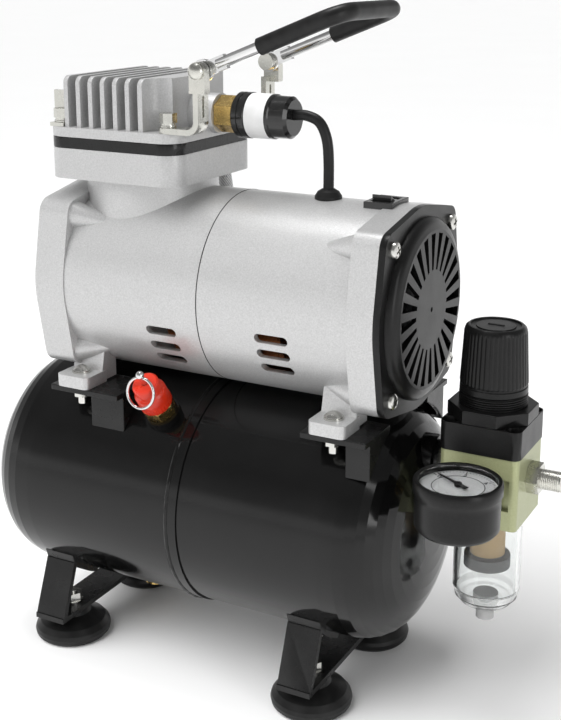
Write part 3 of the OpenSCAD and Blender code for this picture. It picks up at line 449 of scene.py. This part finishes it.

# A flat dark bar on the knob's top: painted shade standing in for a slot
bm = slab((0.0082, 0.0016, 0.0004), 0.00008)
place(bm, axis + Vector((0, 0, k1 - 0.00022)))
add("knob_top_slot", bm, "dark", "knob")

# Thread turns between the lock ring and the knob
z0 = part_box("lock_ring")[1].z
turns = thread(z0 + 0.0001, 5, 0.00112, 0.0162, 0.0169, (0, 0.0004, 0.0006, 0.0010))
bm = spin(bmesh.new(), [(0.0160, z0), *turns, (0.0160, z0 + 0.0057)], 96)
place(bm, axis)
add("bonnet_thread", bm, "plastic", "root")

# Thread on the outlet nipple
lo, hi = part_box("regulator_nipples")
port_z = (lo.z + hi.z) / 2
pitch = 0.0009
turns = thread(0.0006, 10, pitch, 0.00478, 0.00512, (0, pitch * 0.4, pitch * 0.55, pitch * 0.95))
bm = spin(bmesh.new(), [(0.0047, 0), *turns, (0.0047, 0.0100)], 64)
place(bm, Vector((hi.x - 0.0105, axis.y, port_z)), (1, 0, 0))
add("outlet_thread", bm, "zinc", "root")

# ---------------------------------------------------------------- gauge
lo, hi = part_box("gauge_dial")
g = Vector(((lo.x + hi.x) / 2, (lo.y + hi.y) / 2, hi.z))  # the middle of the dial's face
dial_r = (hi.x - lo.x) / 2


DIAL_START = 150  # the angle of zero, in degrees
DIAL_SWEEP = 270
TICKS = 50
TICKS_PER_DIGIT = 10
digits = ["0", "2", "4", "6", "8", "10"]


def dial_angle(fraction):
    return math.radians(DIAL_START - DIAL_SWEEP * fraction)


def tick(bm, a, length, width):
    """A thin bar on the dial that points at its centre."""
    d = Vector((math.cos(a), math.sin(a), 0))
    side = Vector((-d.y, d.x, 0)) * width / 2
    inner, outer = g + d * (dial_r - 0.0008 - length), g + d * (dial_r - 0.0008)
    rings = []
    for lift in (0, 0.00012):
        corners = (inner - side, outer - side, outer + side, inner + side)
        rings.append([bm.verts.new(p + Vector((0, 0, lift))) for p in corners])
    bm.faces.new(rings[1])
    bm.faces.new(rings[0][::-1])
    skin(bm, rings)


bm = bmesh.new()
for i in range(TICKS + 1):
    length, width = (0.0024, 0.00045) if i % TICKS_PER_DIGIT == 0 else (0.0013, 0.00022)
    tick(bm, dial_angle(i / TICKS), length, width)
add("dial_ticks", bm, "ink", "root", smooth=False)
r0, r1 = dial_r - 0.0066, dial_r - 0.0062
bm = spin(bmesh.new(), [(r0, 0), (r1, 0), (r1, 0.0001), (r0, 0.0001)], 96)
place(bm, g)
add("dial_scale_ring", bm, "ink", "root", smooth=False)
for i, word in enumerate(digits):
    a = dial_angle(i * TICKS_PER_DIGIT / TICKS)
    curve = bpy.data.curves.new(f"digit_{i}", "FONT")
    curve.body = word
    curve.size = 0.0042
    curve.align_x = "CENTER"
    curve.align_y = "CENTER"
    curve.extrude = 0.00005
    t = bpy.data.objects.new(f"dial_digit_{i}", curve)
    scene.collection.objects.link(t)
    reach = dial_r - 0.0050
    t.location = g + Vector((math.cos(a) * reach, math.sin(a) * reach, 0.0001))
    curve.materials.append(MATERIALS["ink"])
    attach(t, "root")


# ---------------------------------------------------------------- screws
def screw_mesh(r, h):
    """A pan head with a cross recess, its seat at height 0."""
    dome = [(1, 0), (1, 0.45), (0.93, 0.72), (0.72, 0.92), (0.4, 1)]
    profile = [(0.00001, 0), *((r * x, h * z) for x, z in dome), (0.00001, h)]
    bm = spin(bmesh.new(), profile, 40)
    head = bpy.data.meshes.new("head")
    bmesh.ops.recalc_face_normals(bm, faces=bm.faces)
    bm.to_mesh(head)
    bm.free()
    ob = bpy.data.objects.new("head", head)
    scene.collection.objects.link(ob)
    cutters = []
    for turn in (0, 90):
        bm = slab((r * 1.15, r * 0.26, h * 0.9))
        bmesh.ops.rotate(bm, matrix=Matrix.Rotation(math.radians(turn + 20), 3, "Z"), verts=bm.verts)
        bmesh.ops.translate(bm, vec=(0, 0, h), verts=bm.verts)
        me = bpy.data.meshes.new("cut")
        bm.to_mesh(me)
        bm.free()
        c = bpy.data.objects.new("cut", me)
        scene.collection.objects.link(c)
        cutters.append(c)
        mod = ob.modifiers.new("cross", "BOOLEAN")
        mod.operation = "DIFFERENCE"
        mod.object = c
    bpy.context.view_layer.update()
    done = bpy.data.meshes.new_from_object(ob.evaluated_get(bpy.context.evaluated_depsgraph_get()))
    for o in [ob, *cutters]:
        bpy.data.objects.remove(o)
    return done


def screws(name, r, h, spots):
    """One piece that holds the same screw head at each of the spots (a point and a direction)."""
    base = screw_mesh(r, h)
    bm = bmesh.new()
    for at, way in spots:
        part = base.copy()
        part.transform(pose(at, way))
        bm.from_mesh(part)
        bpy.data.meshes.remove(part)
    return add(name, bm, "steel", "root")


# The seats of the screws in the fan cover's flange, the crankcase cover and the bonnet's pockets
flange_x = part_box("fan_cover")[0].x + 0.0035
plate_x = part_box("front_housing")[0].x - 0.0025
pocket_z = 0.1507
COVER_PITCH = 0.037
BONNET_PITCH = 0.016
mid = mm(0, 0, MOTOR_Z)
corners = [(sx, sy) for sx in (-1, 1) for sy in (-1, 1)]
spots = []
for sy, sz in corners:
    y, z = mid.y + sy * COVER_PITCH, mid.z + sz * COVER_PITCH
    spots.append((Vector((flange_x, y, z)), (1, 0, 0)))
    spots.append((Vector((plate_x, y, z)), (-1, 0, 0)))
heads = screws("cover_screw_heads", 0.0042, 0.003, spots)
pocket = axis + Vector((0, 0, pocket_z))
spots = [(pocket + BONNET_PITCH * Vector((sx, sy, 0)), (0, 0, 1)) for sx, sy in corners]
screws("bonnet_screw_heads", 0.003, 0.003, spots)
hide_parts("panel_screws")

# ---------------------------------------------------------------- lead, hose and seam
lead = [(47.1, 0, 302), (54, 0, 302), (61, 0, 299), (65, 0, 291), (66.2, 0, 280), (66.2, 0, 264)]
piece = tube("switch_lead_smooth", lead, 0.0027, (0, 1, 0), "rubber")
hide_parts("switch_lead")
hose = [
    (-40, 56.15, 304), (-40, 61, 303.6), (-39.6, 65, 298), (-38, 66, 285), (-36, 66, 265), (-32, 66, 240),
    (-26, 66, 215), (-17, 66.2, 194), (-10.2, 66, 180), (-8.5, 64, 173), (-8.5, 61.05, 167.5),
]
piece = tube("transfer_hose_smooth", hose, 0.0042, (1, 0, 0), "braid")
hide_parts("transfer_hose")

# Grip ribs round the lower part of the relief valve's cap
lean = math.radians(37)
valve = Vector((0, -math.sin(lean), math.cos(lean)))
valve_foot = mm(-10.4, -38.2, 143.3)
grip = [(0.0084, 0.0001), (0.0088, 0.0004), (0.0088, 0.0034), (0.0084, 0.0037)]


def grip_radius(a, r, h):
    return r - 0.0003 * (0.5 + 0.5 * math.cos(32 * a)) if r > 0.0085 else r


bm = spin(bmesh.new(), grip, 192, grip_radius)
place(bm, valve_foot + valve * 0.0128, valve)
add("cap_grip_ribs", bm, "red", "root")

# The weld bead round the tank, slightly rippled
bm = bmesh.new()
steps, sides = 240, 10
rings = []
for k in range(steps):
    a = TAU * k / steps
    ripple = 0.00012 * math.sin(a * 57) + 0.0001 * math.sin(a * 23 + 1)
    ring = []
    for s in range(sides):
        b = TAU * s / sides
        r = 0.0637 + (0.0007 + ripple) * math.cos(b)
        ring.append(bm.verts.new((r * math.cos(a), r * math.sin(a), 0.0011 * math.sin(b))))
    rings.append(ring)
skin(bm, rings, loop=True)
place(bm, mm(5, 0, 94), (1, 0, 0))
add("seam_bead", bm, "tank", "root")

# Joint between the two motor housings
bm = spin(bmesh.new(), [(0.0509, -0.00025), (0.05112, -0.00022), (0.05112, 0.00022), (0.0509, 0.00025)], 128)
place(bm, mm(18, 0, MOTOR_Z), (1, 0, 0))
add("housing_joint", bm, "dark", "root")

# ---------------------------------------------------------------- small bevels, widths in millimetres
BEVELS = {
    "cylinder_block": 0.7, "cylinder_head": 0.5, "valve_plate": 0.4, "regulator_body": 0.6,
    "regulator_bonnet": 0.5, "lock_ring": 0.6, "saddle_brackets": 0.5, "left_cradle": 0.5,
    "right_cradle": 0.5, "head_brackets": 0.4, "rocker_bezel": 0.4, "fan_cover": 0.35,
    "crankcase_cover": 0.6, "handle_bar": 0.5, "head_bolts": 0.3, "switch_adapter": 0.3,
    "relief_base": 0.3, "relief_cap": 0.3, "hose_fittings": 0.3, "gauge_case": 0.4,
    "rocker_button": 0.3,
}
for n, w in BEVELS.items():
    weld = nodes[n].modifiers.new("weld", "WELD")
    weld.merge_threshold = 0.00001
    bev = nodes[n].modifiers.new("edge", "BEVEL")
    bev.width = w / 1000
    bev.segments = 2
    bev.limit_method = "ANGLE"
    bev.angle_limit = math.radians(50)
    bev.harden_normals = True

# ---------------------------------------------------------------- floor, light, camera
HALF_FLOOR = 60
me = bpy.data.meshes.new("floor")
me.from_pydata([(HALF_FLOOR * sx, HALF_FLOOR * sy, 0) for sx, sy in corners], [], [(0, 2, 3, 1)])
floor = bpy.data.objects.new("floor", me)
scene.collection.objects.link(floor)
floor.location.z = -0.0002  # just below the feet
me.materials.append(painted("floor_white", grey(0.92), grey(0.93), 0, (0.6, 0.7), 20, 0.01, 0.001))

# A sky that is white at the horizon and dim overhead, so black parts stay black
world = bpy.data.worlds.new("studio")
scene.world = world
world.use_nodes = True
tree = world.node_tree
where = tree.nodes.new("ShaderNodeTexCoord")
parts = tree.nodes.new("ShaderNodeSeparateXYZ")
ramp = tree.nodes.new("ShaderNodeValToRGB")
elements = ramp.color_ramp.elements
stops = [(0.0, 1.0), (0.10, 1.0), (0.22, 0.42), (0.55, 0.2), (1.0, 0.28)]
while len(elements) < len(stops):
    elements.new(0.5)
for el, (at, v) in zip(elements, stops):
    el.position = at
    el.color = (v, v, v, 1)
tree.links.new(where.outputs["Generated"], parts.inputs["Vector"])
tree.links.new(parts.outputs["Z"], ramp.inputs["Fac"])
tree.links.new(ramp.outputs["Color"], tree.nodes["Background"].inputs["Color"])
tree.nodes["Background"].inputs["Strength"].default_value = 1.1


def light(name, kind, at, aim, watts, size, glossy=True):
    """size is an area light's two sides in metres, or a sun's angle in degrees."""
    data = bpy.data.lights.new(name, kind)
    data.energy = watts
    if kind == "AREA":
        data.shape = "RECTANGLE"
        data.size, data.size_y = size
    else:
        data.angle = math.radians(size)
    ob = bpy.data.objects.new(name, data)
    scene.collection.objects.link(ob)
    ob.location = at
    ob.rotation_mode = "QUATERNION"
    ob.rotation_quaternion = (Vector(aim) - Vector(at)).to_track_quat("-Z", "Y")
    ob.visible_glossy = glossy


light("key", "SUN", (-0.55, -0.75, 1.3), (0, 0, 0.18), 3.4, 55, False)
light("top", "AREA", (-0.15, 0.1, 1.3), (-0.03, 0, 0.2), 5, (0.5, 0.35))
light("side", "AREA", (1.2, -0.5, 0.6), (0, 0, 0.2), 3, (0.35, 0.9))

# The camera that was fitted to the photograph
cam = bpy.data.cameras.new("camera")
camera = bpy.data.objects.new("camera", cam)
scene.collection.objects.link(camera)
scene.camera = camera
cam.sensor_width = 36
cam.lens = 61.9
cam.shift_x = -0.0139
cam.shift_y = -0.1389
cam.clip_start = 0.01
camera.location = mm(337.7, -553.8, 376.8)
camera.rotation_euler = (math.radians(76.5), 0, math.radians(27.9))
scene.view_settings.view_transform = "Standard"
